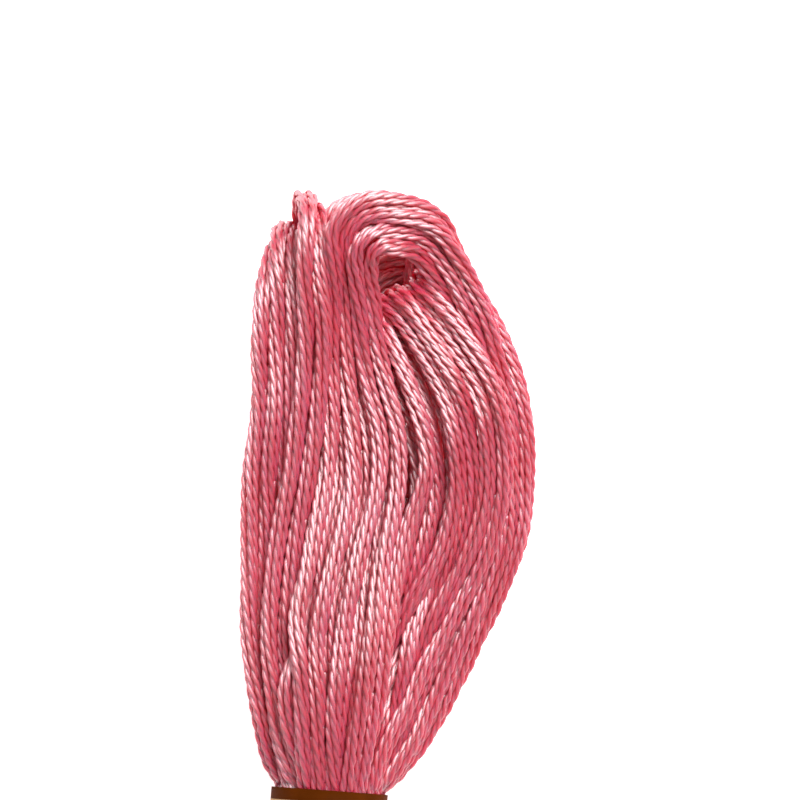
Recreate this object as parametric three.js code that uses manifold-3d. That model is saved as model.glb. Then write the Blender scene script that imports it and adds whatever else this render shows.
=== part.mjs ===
// A skein of six-strand embroidery cotton held by a paper band, lying on a flat surface.
// Millimetres, +Z up, +Y along the skein towards the looped end that stands open.
// The tables are written from the middle of the band's upper edge. The finished group is then moved
// so that its origin lies under the middle of its box, on the surface.
import * as THREE from "three";
import { mergeVertices } from "three/addons/utils/BufferGeometryUtils.js";
import Module from "manifold-3d";

const wasm = await Module();
wasm.setup();

// Driving dimensions
const neckHalfWidth = 3.5;
const neckHalfDepth = 3.4;
const bandHeight = 48;
const bandThickness = 1.0;
const bandClearance = 0.3;
const bandFlatDepth = 0.1; // how far the band's underside is pressed flat
const bandTurn = THREE.MathUtils.degToRad(-4.3); // the band and all below it lean a little to the left

// The neck's centre lies as high as the band under it allows
const neckHeight = neckHalfDepth + bandClearance + bandThickness - bandFlatDepth;

// How finely the bundles are faceted
const pointsPerRidge = 3;
const ridgeDepth = 0.14; // share of the bundle's radius
const longestStep = 4.2;
const sharpestStep = THREE.MathUtils.degToRad(13);
const samplesPerTable = 400;
const sleeveSegments = 16;
const cutterSize = 400;

const alongX = new THREE.Vector3(1, 0, 0);
const alongZ = new THREE.Vector3(0, 0, 1);

// The folded turns at the left: up the front, over the top edge and down the back, where they fan out
const foldedTurns = [
  { x: -2.4, y: -3, z: 4.7, wide: 1.2, deep: 2.6 },
  { x: -3.2, y: 0, z: 4.8, wide: 1.4, deep: 2.7 },
  { x: -3.9, y: 4, z: 4.8, wide: 1.65, deep: 2.7 },
  { x: -4.2, y: 7.7, z: 4.8, wide: 2.05, deep: 2.6 },
  { x: -4.4, y: 11.5, z: 4.9, wide: 2.35, deep: 2.5 },
  { x: -4.3, y: 15.4, z: 5.1, wide: 2.55, deep: 2.3 },
  { x: -4.0, y: 20, z: 5.4, wide: 2.85, deep: 2.1 },
  { x: -3.7, y: 24.6, z: 5.6, wide: 2.85, deep: 1.9 },
  { x: -3.3, y: 29.2, z: 5.8, wide: 2.55, deep: 1.85 },
  { x: -3.3, y: 33.8, z: 5.8, wide: 2.65, deep: 1.8 },
  { x: -3.2, y: 37.7, z: 5.6, wide: 2.6, deep: 1.75 },
  { x: -2.9, y: 40.8, z: 5.0, wide: 2.45, deep: 1.65 },
  { x: -2.6, y: 42.3, z: 3.5, wide: 2.35, deep: 1.6 },
  { x: -2.0, y: 40.6, z: 1.9, wide: 2.7, deep: 1.5 },
  { x: -0.3, y: 36.5, z: 1.4, wide: 3.4, deep: 1.4 },
  { x: 1.8, y: 31, z: 1.4, wide: 4.4, deep: 1.5 },
  { x: 2.8, y: 24, z: 1.4, wide: 4.8, deep: 1.6 },
  { x: 2.4, y: 16, z: 1.5, wide: 4.3, deep: 1.6 },
  { x: 1.2, y: 8, z: 1.8, wide: 3.3, deep: 1.5 },
  { x: 0.2, y: 0, z: 2.7, wide: 2.6, deep: 1.4 },
  { x: 0.1, y: -3, z: 2.8, wide: 2.4, deep: 1.4 },
];

// The arching turns: up the middle of the front, round over the eye and down the right-hand edge
const archingTurns = [
  { x: -0.2, y: -3, z: 6.3, wide: 2.2, deep: 1.5 },
  { x: -0.4, y: 0, z: 6.6, wide: 2.6, deep: 1.5 },
  { x: -0.3, y: 4, z: 6.7, wide: 2.9, deep: 1.5 },
  { x: 0.0, y: 7.7, z: 7.0, wide: 3.2, deep: 1.45 },
  { x: 0.5, y: 11.5, z: 7.2, wide: 3.5, deep: 1.4 },
  { x: 1.2, y: 15.4, z: 7.4, wide: 3.6, deep: 1.4 },
  { x: 1.9, y: 18.8, z: 7.5, wide: 3.5, deep: 1.4 },
  { x: 2.5, y: 22.3, z: 7.5, wide: 3.5, deep: 1.4 },
  { x: 2.3, y: 26.2, z: 7.4, wide: 3.2, deep: 1.4 },
  { x: 1.7, y: 30, z: 7.2, wide: 2.5, deep: 1.6 },
  { x: 1.4, y: 33.8, z: 7.0, wide: 2.0, deep: 1.8 },
  { x: 1.1, y: 37.4, z: 6.7, wide: 2.05, deep: 1.9 },
  { x: 1.3, y: 39.8, z: 6.5, wide: 2.7, deep: 1.9 },
  { x: 2.3, y: 42.2, z: 6.2, wide: 3.5, deep: 1.9 },
  { x: 3.8, y: 43.3, z: 5.9, wide: 2.7, deep: 1.9 },
  { x: 5.3, y: 43.6, z: 5.7, wide: 2.15, deep: 1.9 },
  { x: 7.7, y: 42.8, z: 5.4, wide: 1.9, deep: 1.9 },
  { x: 9.3, y: 40.7, z: 5.1, wide: 1.6, deep: 1.9 },
  { x: 10.9, y: 38.1, z: 4.9, wide: 1.5, deep: 1.9 },
  { x: 12.3, y: 35.2, z: 4.8, wide: 1.5, deep: 1.9 },
  { x: 13.7, y: 31.3, z: 4.7, wide: 1.6, deep: 1.9 },
  { x: 14.2, y: 27.5, z: 4.6, wide: 1.7, deep: 1.9 },
  { x: 14.0, y: 23.5, z: 4.5, wide: 1.75, deep: 1.9 },
  { x: 13.2, y: 19.4, z: 4.5, wide: 1.85, deep: 1.9 },
  { x: 11.5, y: 15.2, z: 4.4, wide: 1.95, deep: 1.9 },
  { x: 9.4, y: 11.2, z: 4.3, wide: 2.05, deep: 1.9 },
  { x: 7.5, y: 7.4, z: 4.3, wide: 2.1, deep: 2.0 },
  { x: 5.9, y: 4.2, z: 4.4, wide: 2.0, deep: 2.2 },
  { x: 4.1, y: 1.2, z: 4.6, wide: 1.7, deep: 2.4 },
  { x: 2.3, y: -3, z: 4.6, wide: 1.3, deep: 2.4 },
];

// The inner turns: up behind the arching ones, out under them at the eye and down the right of the front
const innerTurns = [
  { x: 0.3, y: -3, z: 4.3, wide: 1.8, deep: 1.3 },
  { x: 0.3, y: 0, z: 4.3, wide: 1.9, deep: 1.3 },
  { x: 0.6, y: 10, z: 4.3, wide: 2.4, deep: 1.3 },
  { x: 0.6, y: 22, z: 4.3, wide: 2.6, deep: 1.2 },
  { x: 0.3, y: 31, z: 4.0, wide: 2.2, deep: 1.2 },
  { x: 0.9, y: 35.8, z: 3.9, wide: 1.9, deep: 1.2 },
  { x: 3.2, y: 37.8, z: 4.1, wide: 1.8, deep: 1.2 },
  { x: 6.2, y: 37.7, z: 4.9, wide: 2.0, deep: 1.3 },
  { x: 9.0, y: 35.7, z: 5.6, wide: 2.4, deep: 1.4 },
  { x: 11.2, y: 32.2, z: 6.0, wide: 2.5, deep: 1.5 },
  { x: 12.5, y: 28.3, z: 6.0, wide: 2.5, deep: 1.6 },
  { x: 12.5, y: 24.2, z: 5.9, wide: 2.5, deep: 1.6 },
  { x: 11.4, y: 19.8, z: 5.6, wide: 2.5, deep: 1.6 },
  { x: 9.4, y: 15.4, z: 5.3, wide: 2.4, deep: 1.6 },
  { x: 7.0, y: 11.0, z: 5.1, wide: 2.2, deep: 1.6 },
  { x: 4.8, y: 6.4, z: 5.1, wide: 2.0, deep: 1.6 },
  { x: 2.9, y: 1.5, z: 5.2, wide: 1.7, deep: 1.6 },
  { x: 1.7, y: -3, z: 5.2, wide: 1.5, deep: 1.6 },
];

// The middle turns: out of the eye's lower corner, steeply down between the arching and inner ones
const middleTurns = [
  { x: 1.0, y: 33, z: 4.4, wide: 0.8, deep: 1.2 },
  { x: 2.4, y: 35.2, z: 4.7, wide: 0.8, deep: 1.2 },
  { x: 4.4, y: 34.5, z: 5.4, wide: 0.9, deep: 1.3 },
  { x: 5.9, y: 32.2, z: 5.9, wide: 1.15, deep: 1.4 },
  { x: 7.5, y: 28.4, z: 6.1, wide: 1.55, deep: 1.4 },
  { x: 8.3, y: 24.4, z: 6.0, wide: 1.7, deep: 1.5 },
  { x: 8.0, y: 19.8, z: 5.8, wide: 1.8, deep: 1.5 },
  { x: 6.6, y: 14.8, z: 5.5, wide: 1.8, deep: 1.5 },
  { x: 4.6, y: 9.0, z: 5.3, wide: 1.7, deep: 1.5 },
  { x: 2.4, y: 2.0, z: 5.2, wide: 1.5, deep: 1.5 },
];

// The one turn that stands proud of the others at the upper left
const proudTurn = [
  { x: 1.0, y: 30, z: 7.6, wide: 0.7, deep: 0.7 },
  { x: 0.5, y: 37.5, z: 8.0, wide: 0.7, deep: 0.7 },
  { x: -0.6, y: 40.8, z: 7.4, wide: 0.72, deep: 0.7 },
  { x: -1.5, y: 43.6, z: 6.4, wide: 0.75, deep: 0.7 },
  { x: -1.8, y: 45.4, z: 4.7, wide: 0.8, deep: 0.7 },
  { x: -1.8, y: 44.2, z: 3.0, wide: 0.75, deep: 0.7 },
  { x: -1.6, y: 41, z: 1.8, wide: 0.7, deep: 0.7 },
  { x: -1.2, y: 36, z: 1.4, wide: 0.7, deep: 0.7 },
];

// Below the band: outer turns round the end, and turns folded over it between them
const lowerOuterTurns = [
  { x: -1.9, y: -45, z: 4.8, wide: 1.5, deep: 2.4 },
  { x: -2.2, y: -48, z: 4.9, wide: 1.8, deep: 2.7 },
  { x: -3.3, y: -54, z: 4.5, wide: 1.9, deep: 2.7 },
  { x: -4.9, y: -63, z: 3.8, wide: 2.0, deep: 2.6 },
  { x: -5.6, y: -72, z: 3.2, wide: 2.0, deep: 2.5 },
  { x: -5.0, y: -80, z: 2.8, wide: 1.9, deep: 2.4 },
  { x: -2.6, y: -85.8, z: 2.6, wide: 1.8, deep: 2.4 },
  { x: 0.6, y: -87.2, z: 2.5, wide: 1.8, deep: 2.4 },
  { x: 3.7, y: -84.8, z: 2.6, wide: 1.8, deep: 2.4 },
  { x: 5.4, y: -78.5, z: 2.8, wide: 1.9, deep: 2.4 },
  { x: 5.7, y: -70, z: 3.2, wide: 2.0, deep: 2.5 },
  { x: 4.6, y: -61, z: 3.9, wide: 2.0, deep: 2.6 },
  { x: 3.1, y: -53, z: 4.6, wide: 1.9, deep: 2.7 },
  { x: 2.2, y: -48, z: 4.9, wide: 1.8, deep: 2.7 },
  { x: 1.9, y: -45, z: 4.8, wide: 1.5, deep: 2.4 },
];
const lowerFoldedTurns = [
  { x: 0.0, y: -45, z: 6.3, wide: 2.1, deep: 1.5 },
  { x: 0.0, y: -48, z: 6.5, wide: 2.3, deep: 1.5 },
  { x: 0.2, y: -57, z: 6.6, wide: 2.8, deep: 1.6 },
  { x: 0.4, y: -67, z: 6.4, wide: 3.2, deep: 1.8 },
  { x: 0.4, y: -75, z: 5.9, wide: 3.2, deep: 1.8 },
  { x: 0.3, y: -80.5, z: 4.9, wide: 2.8, deep: 1.7 },
  { x: 0.2, y: -82.2, z: 3.4, wide: 2.6, deep: 1.6 },
  { x: 0.2, y: -79.5, z: 1.9, wide: 2.9, deep: 1.6 },
  { x: 0.1, y: -72, z: 1.5, wide: 3.8, deep: 1.6 },
  { x: 0.0, y: -62, z: 1.6, wide: 3.4, deep: 1.6 },
  { x: 0.0, y: -54, z: 2.1, wide: 2.7, deep: 1.5 },
  { x: 0.0, y: -48, z: 2.9, wide: 2.2, deep: 1.4 },
  { x: 0.0, y: -45, z: 2.9, wide: 2.1, deep: 1.4 },
];

// What lies between the front and back turns, pressed flat where it rests
const upperHeart = [
  { x: 0.0, y: -3, z: neckHeight, wide: 3.4, deep: 3.3 },
  { x: 0.0, y: 1, z: 4.4, wide: 4.3, deep: 3.6 },
  { x: 0.8, y: 7, z: 3.2, wide: 6.0, deep: 3.4 },
  { x: 3.0, y: 15, z: 2.9, wide: 8.2, deep: 3.1 },
  { x: 4.9, y: 23, z: 2.8, wide: 9.8, deep: 3.0 },
  { x: 4.8, y: 30, z: 2.4, wide: 9.2, deep: 2.6 },
  { x: 3.9, y: 36, z: 1.6, wide: 7.6, deep: 1.8 },
  { x: 3.6, y: 42.4, z: 1.6, wide: 5.0, deep: 1.7 },
];
const lowerHeart = [
  { x: 0.0, y: -45, z: neckHeight, wide: 3.4, deep: 3.3 },
  { x: 0.0, y: -49, z: 4.4, wide: 4.2, deep: 3.6 },
  { x: 0.0, y: -56, z: 3.3, wide: 4.8, deep: 3.4 },
  { x: 0.0, y: -65, z: 2.9, wide: 5.6, deep: 3.1 },
  { x: 0.1, y: -74, z: 2.7, wide: 5.8, deep: 2.9 },
  { x: 0.2, y: -83, z: 2.3, wide: 4.6, deep: 2.4 },
];

const flossMaterial = new THREE.MeshStandardMaterial({ color: 0xe58a97, roughness: 0.55, metalness: 0 });
const bandMaterial = new THREE.MeshStandardMaterial({ color: 0x8a6420, roughness: 0.4, metalness: 0.3 });

// A closed mesh as a solid, its shared vertices merged
function solidOf(geometry) {
  const bare = geometry.index ? geometry.toNonIndexed() : geometry.clone();
  bare.deleteAttribute("normal");
  bare.deleteAttribute("uv");
  const merged = mergeVertices(bare, 1e-4);
  const mesh = new wasm.Mesh({
    numProp: 3,
    vertProperties: merged.attributes.position.array,
    triVerts: new Uint32Array(merged.index.array),
  });
  return new wasm.Manifold(mesh);
}

// A solid back as a three.js geometry
function geometryOf(solid) {
  const mesh = solid.getMesh();
  const geometry = new THREE.BufferGeometry();
  geometry.setAttribute("position", new THREE.BufferAttribute(mesh.vertProperties, 3));
  geometry.setIndex(new THREE.BufferAttribute(mesh.triVerts, 1));
  geometry.computeVertexNormals();
  return geometry;
}

// Stations along a table's smooth line, closer together where it bends
function smoothStations(rows) {
  const line = new THREE.CatmullRomCurve3(rows.map((r) => new THREE.Vector3(r.x, r.y, r.z)));
  const section = new THREE.CatmullRomCurve3(rows.map((r) => new THREE.Vector3(r.wide, r.deep, 0)));
  line.curveType = "catmullrom";
  section.curveType = "catmullrom";
  const places = Array.from({ length: samplesPerTable + 1 }, (_, i) => i / samplesPerTable);
  const points = places.map((t) => line.getPoint(t));
  const tangents = places.map((t) => line.getTangent(t));
  const steps = [0];
  for (let i = 1; i < places.length; i++) {
    const straight = points[i].distanceTo(points[i - 1]) / longestStep;
    const bent = tangents[i].angleTo(tangents[i - 1]) / sharpestStep;
    steps.push(steps[i - 1] + straight + bent);
  }
  const total = steps[samplesPerTable];
  const count = Math.round(total);
  return Array.from({ length: count + 1 }, (_, i) => {
    const sample = steps.findIndex((step) => step >= (total * i) / count - 1e-9);
    const size = section.getPoint(places[sample]);
    return { centre: points[sample], tangent: tangents[sample], wide: size.x, deep: size.y };
  });
}

// A closed sweep of an oval section with raised main twists round it. Turns that lie flat keep their
// depth upright, and turns that fold over an edge keep their width level.
function sweep(rows, { foldsOver = false, ridges }) {
  const stations = smoothStations(rows);
  const sides = ridges * pointsPerRidge;
  const points = [];
  for (const { centre, tangent, wide, deep } of stations) {
    const across = foldsOver
      ? alongX.clone().addScaledVector(tangent, -tangent.dot(alongX)).normalize()
      : tangent.clone().cross(alongZ).normalize();
    const outward = across.clone().cross(tangent).normalize();
    for (let k = 0; k < sides; k++) {
      const angle = (2 * Math.PI * k) / sides;
      const hollow = k % pointsPerRidge === 1 ? 1 - ridgeDepth : 1;
      const point = centre.clone();
      point.addScaledVector(across, wide * hollow * Math.cos(angle));
      point.addScaledVector(outward, deep * hollow * Math.sin(angle));
      points.push(point);
    }
  }
  const faces = [];
  const rings = stations.length;
  for (let i = 0; i + 1 < rings; i++) {
    for (let k = 0; k < sides; k++) {
      const here = i * sides + k;
      const next = i * sides + ((k + 1) % sides);
      faces.push(here, next + sides, next, here, here + sides, next + sides);
    }
  }
  for (const [ring, isFirst] of [[0, true], [rings - 1, false]]) {
    const middle = points.push(stations[ring].centre.clone()) - 1;
    for (let k = 0; k < sides; k++) {
      const here = ring * sides + k;
      const next = ring * sides + ((k + 1) % sides);
      faces.push(middle, ...(isFirst ? [here, next] : [next, here]));
    }
  }
  const geometry = new THREE.BufferGeometry().setFromPoints(points);
  geometry.setIndex(faces);
  return solidOf(geometry);
}

// An oval outline of the neck, grown by a margin
function neckOutline(margin) {
  const outline = new THREE.Path();
  outline.absellipse(0, 0, neckHalfWidth + margin, neckHalfDepth + margin, 0, 2 * Math.PI);
  return outline;
}

// A shape in the neck's section, extruded along the skein from y = low to y = high
function alongNeck(shape, low, high) {
  const geometry = new THREE.ExtrudeGeometry(shape, {
    depth: high - low,
    bevelEnabled: false,
    curveSegments: sleeveSegments,
  });
  geometry.rotateX(Math.PI / 2);
  geometry.translate(0, high, neckHeight);
  return geometry;
}

function sleeve(outer, inner, low, high) {
  const shape = new THREE.Shape(outer.getPoints(sleeveSegments));
  shape.holes.push(new THREE.Path(inner.getPoints(sleeveSegments)));
  return solidOf(alongNeck(shape, low, high));
}

// What lies under the surface that the skein rests on
function belowSurface() {
  const block = new THREE.BoxGeometry(cutterSize, cutterSize, cutterSize);
  block.translate(0, 0, -cutterSize / 2);
  return solidOf(block);
}

function leaning(solid) {
  return solid.rotate([0, 0, THREE.MathUtils.radToDeg(bandTurn)]);
}

function makeBand() {
  const inner = neckOutline(bandClearance);
  const outer = neckOutline(bandClearance + bandThickness);
  return leaning(sleeve(outer, inner, -bandHeight, 0)).subtract(belowSurface());
}

function makeSkein() {
  const upper = [
    sweep(upperHeart, { foldsOver: true, ridges: 8 }),
    sweep(foldedTurns, { foldsOver: true, ridges: 8 }),
    sweep(archingTurns, { ridges: 8 }),
    sweep(innerTurns, { ridges: 7 }),
    sweep(middleTurns, { ridges: 5 }),
    sweep(proudTurn, { foldsOver: true, ridges: 3 }),
  ];
  const neckShape = new THREE.Shape(neckOutline(0).getPoints(sleeveSegments));
  const neck = solidOf(alongNeck(neckShape, -bandHeight - bandThickness, bandThickness));
  const lower = [
    neck,
    sweep(lowerHeart, { foldsOver: true, ridges: 6 }),
    sweep(lowerOuterTurns, { ridges: 7 }),
    sweep(lowerFoldedTurns, { foldsOver: true, ridges: 7 }),
  ].map(leaning);
  // The band squeezes the neck, so nothing of the skein lies within a clearance of its paper
  const reach = new THREE.Path();
  reach.absellipse(0, 0, cutterSize / 8, cutterSize / 8, 0, 2 * Math.PI);
  const squeeze = leaning(sleeve(reach, neckOutline(0), -bandHeight - bandClearance, bandClearance));
  const whole = wasm.Manifold.union([...upper, ...lower]);
  return whole.subtract(squeeze).subtract(belowSurface());
}

const group = new THREE.Group();
for (const [name, solid, material] of [
  ["skein", makeSkein(), flossMaterial],
  ["band", makeBand(), bandMaterial],
]) {
  const mesh = new THREE.Mesh(geometryOf(solid), material);
  mesh.name = name;
  group.add(mesh);
}
const box = new THREE.Box3().setFromObject(group);
const middle = box.getCenter(new THREE.Vector3());
for (const mesh of group.children) {
  mesh.geometry.translate(-middle.x, -middle.y, -box.min.z);
}

export default group;
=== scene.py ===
"""A skein of six-strand embroidery cotton in a paper band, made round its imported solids."""

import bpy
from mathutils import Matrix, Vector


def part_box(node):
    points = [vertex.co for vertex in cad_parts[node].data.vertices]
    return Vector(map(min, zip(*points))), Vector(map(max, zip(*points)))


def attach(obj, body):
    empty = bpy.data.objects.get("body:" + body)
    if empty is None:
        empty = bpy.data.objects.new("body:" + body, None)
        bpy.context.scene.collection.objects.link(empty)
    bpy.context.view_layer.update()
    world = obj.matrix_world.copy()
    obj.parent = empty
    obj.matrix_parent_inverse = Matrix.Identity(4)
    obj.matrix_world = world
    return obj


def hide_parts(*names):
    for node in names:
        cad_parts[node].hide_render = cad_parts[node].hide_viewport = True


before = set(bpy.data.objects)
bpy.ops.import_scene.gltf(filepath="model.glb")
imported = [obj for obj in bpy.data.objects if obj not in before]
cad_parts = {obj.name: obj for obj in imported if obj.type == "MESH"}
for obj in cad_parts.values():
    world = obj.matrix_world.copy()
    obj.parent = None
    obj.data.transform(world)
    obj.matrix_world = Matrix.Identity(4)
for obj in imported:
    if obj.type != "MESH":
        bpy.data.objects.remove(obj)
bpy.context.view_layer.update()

import logging
import math
from dataclasses import dataclass, field
from enum import Enum
from itertools import product

import bpy
import numpy as np
from mathutils import Vector
from mathutils.bvhtree import BVHTree

LOG = logging.getLogger("skein")
MM = 0.001
SEED = 7
SIDEWAYS_WAVE = 34.0  # typical length of a floss's sideways waves in its bundle, in millimetres
INWARD_WAVE = 27.0  # the same for its waves in and out
TOUCH_REACH = 1.15  # how far sideways two points are watched while paths settle, in widths
STEP_REACH = 0.6  # how far along a path they are watched, in point spacings
PUSH_REACH = 0.62  # how far along a path a point pushes others, in point spacings
OWN_WIDTHS = 2.2  # how far along its own path a point pushes none, in widths
PAIRS_EVERY = 8  # steps between two searches for points that touch
GATHERED = 0.25  # share of the way back into its bundle that a point goes in a step
LEAST_REACH = 0.05  # least half size that a bundle keeps for the middles of its flosses, in millimetres
BAND_MARGIN = 0.4  # millimetres past the band's edges over which the paths are still squeezed
SWELL = 1.7  # how fast a ply's radius comes and goes, in radians for each millimetre
ROUTE_SAMPLES = 60  # samples for each section of a bundle
STRAND_SAMPLES = 8  # samples for each point of a strand
Triple = tuple[float, float, float]


class Side(Enum):
    """How a bundle's width lies: along the ridge it is folded over, or level and square to its route."""

    FOLDED = "folded"
    FLAT = "flat"


@dataclass(frozen=True)
class Section:
    """One section of a bundle, in millimetres from the middle of the band's upper edge.

    Attributes:
        x: how far right its middle lies.
        y: how far up the skein its middle lies.
        z: how high above the surface its middle lies.
        wide: half its width, which is a single floss's where none is given.
        deep: half its depth.
    """

    x: float
    y: float
    z: float
    wide: float = 0.8
    deep: float = 0.8


def sections(*rows: tuple[float, ...]) -> tuple[Section, ...]:
    """Make sections from rows of x, y, z, half the width and half the depth."""
    return tuple(Section(*row) for row in rows)


@dataclass(frozen=True)
class Thread:
    """The floss and the strands and plies that it is laid from, in millimetres.

    Attributes:
        floss_width: how far apart two flosses lie side by side.
        strand_count: strands in one floss.
        strand_width: how far apart two strands lie.
        floss_pitch: length in which the strands go once round the floss.
        ply_pitch: length in which two plies go once round each other.
        ply_radius: radius of one ply.
        ply_offset: how far a ply's middle lies from its strand's middle.
        folds_from: how sharply a floss must bend, as one over a radius, before its strands spread.
        folds_over: how much sharper it bends where they are fully spread.
        spread: share by which a fold widens a floss.
        squeezed: share by which it thins it.
        ring_share: how far a floss's outer strands lie from its middle, as a share of strand_width.
        ply_uneven: share by which a ply's radius comes and goes.
        ply_contrast: how much a strand's two plies differ in tone.
    """

    floss_width: float = 1.38
    strand_count: int = 6
    strand_width: float = 0.46
    floss_pitch: float = 32.0
    ply_pitch: float = 2.3
    ply_radius: float = 0.166
    ply_offset: float = 0.096
    folds_from: float = 0.24
    folds_over: float = 0.12
    spread: float = 0.5
    squeezed: float = 0.7
    ring_share: float = 0.9
    ply_uneven: float = 0.05
    ply_contrast: float = 0.2


@dataclass(frozen=True)
class Neck:
    """The oval that the band squeezes the turns into, in millimetres.

    Attributes:
        half_width: half its width.
        half_depth: half its height.
        pressed: how much of its height is pressed flat on the surface.
        turn: how far the band and all below it lean, in radians.
        length: the band's height along the skein.
        paper: the paper's thickness.
        slack: how far the turns stay inside the band's outer face.
        tight: share of their open width that the flosses keep in the band.
        opens_over: length above the band in which they open out again.
    """

    half_width: float = 4.8
    half_depth: float = 4.7
    pressed: float = 0.1
    turn: float = math.radians(-4.3)
    length: float = 48.0
    paper: float = 0.22
    slack: float = 0.6
    tight: float = 0.76
    opens_over: float = 8.0

    @property
    def height(self) -> float:
        """Height of the oval's middle above the surface."""
        return self.half_depth - self.pressed

    def origin(self) -> np.ndarray:
        """Find the middle of the band's upper edge in the row frame.

        Returns:
            The point on the surface under it, in millimetres.
        """
        _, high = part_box("band")
        x = high.x / MM - self.half_width * math.cos(self.turn)
        y = high.y / MM - self.half_width * math.sin(-self.turn)
        return np.array([x, y, 0.0])

    def lean(self, points: np.ndarray) -> np.ndarray:
        """Turn points of a straight skein about the middle of the band's upper edge, as the band is."""
        return turned(points, self.turn)

    def straighten(self, points: np.ndarray) -> np.ndarray:
        """Undo lean."""
        return turned(points, -self.turn)


def turned(points: np.ndarray, angle: float) -> np.ndarray:
    """Turn points about the upright axis.

    Args:
        points: an array whose last axis holds x, y and z.
        angle: how far to turn them, in radians.

    Returns:
        The turned points.
    """
    c, s = math.cos(angle), math.sin(angle)
    x, y = points[..., 0], points[..., 1]
    return np.stack([c * x - s * y, s * x + c * y, points[..., 2]], axis=-1)


def unit(vectors: np.ndarray) -> np.ndarray:
    """Scale vectors to length one.

    Args:
        vectors: an array whose last axis holds x, y and z.

    Returns:
        The unit vectors, and zero where a vector has no length.
    """
    length = np.linalg.norm(vectors, axis=-1, keepdims=True)
    return vectors / np.maximum(length, 1e-9)


def smooth_rows(rows: np.ndarray, samples: int) -> np.ndarray:
    """Pass a Catmull-Rom curve through rows of numbers.

    Args:
        rows: one row for each point of the curve.
        samples: how many even steps of its parameter to take.

    Returns:
        The rows at those steps.
    """
    first = 2 * rows[0] - rows[1]
    last = 2 * rows[-1] - rows[-2]
    padded = np.vstack([first, rows, last])
    t = np.linspace(0, len(rows) - 1, samples)
    i = np.minimum(t.astype(int), len(rows) - 2)
    f = (t - i)[:, None]
    a, b, c, d = (padded[i + k] for k in range(4))
    return 0.5 * (
        2 * b + (c - a) * f + (2 * a - 5 * b + 4 * c - d) * f**2 + (3 * b - a - 3 * c + d) * f**3
    )


def run_of(path: np.ndarray) -> np.ndarray:
    """Measure how far along a path each of its points lies."""
    steps = np.linalg.norm(np.diff(path[:, :3], axis=0), axis=1)
    return np.concatenate([[0], np.cumsum(steps)])


def respace(path: np.ndarray, spacing: float) -> np.ndarray:
    """Set points evenly along a path.

    Args:
        path: its points; columns past the third are carried along.
        spacing: the distance between points that is aimed at.

    Returns:
        The evenly spaced points.
    """
    reached = run_of(path)
    count = max(2, int(round(reached[-1] / spacing)) + 1)
    wanted = np.linspace(0, reached[-1], count)
    return np.stack([np.interp(wanted, reached, column) for column in path.T], axis=1)


def drift(rng: np.random.Generator, length: np.ndarray, wave: float, size: float) -> np.ndarray:
    """Make a slow, uneven wave.

    Args:
        rng: the source of its phases.
        length: where along a route it is wanted, in millimetres.
        wave: its typical wavelength in millimetres.
        size: its typical size.

    Returns:
        The wave at each place.
    """
    total = np.zeros_like(length)
    for share in (1.0, 0.61, 0.37):
        phase = rng.uniform(0, 2 * math.pi)
        stretch = rng.uniform(0.8, 1.25)
        total += share * np.sin(2 * math.pi * length / (wave * share * stretch) + phase)
    return size * total / 1.3


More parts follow.
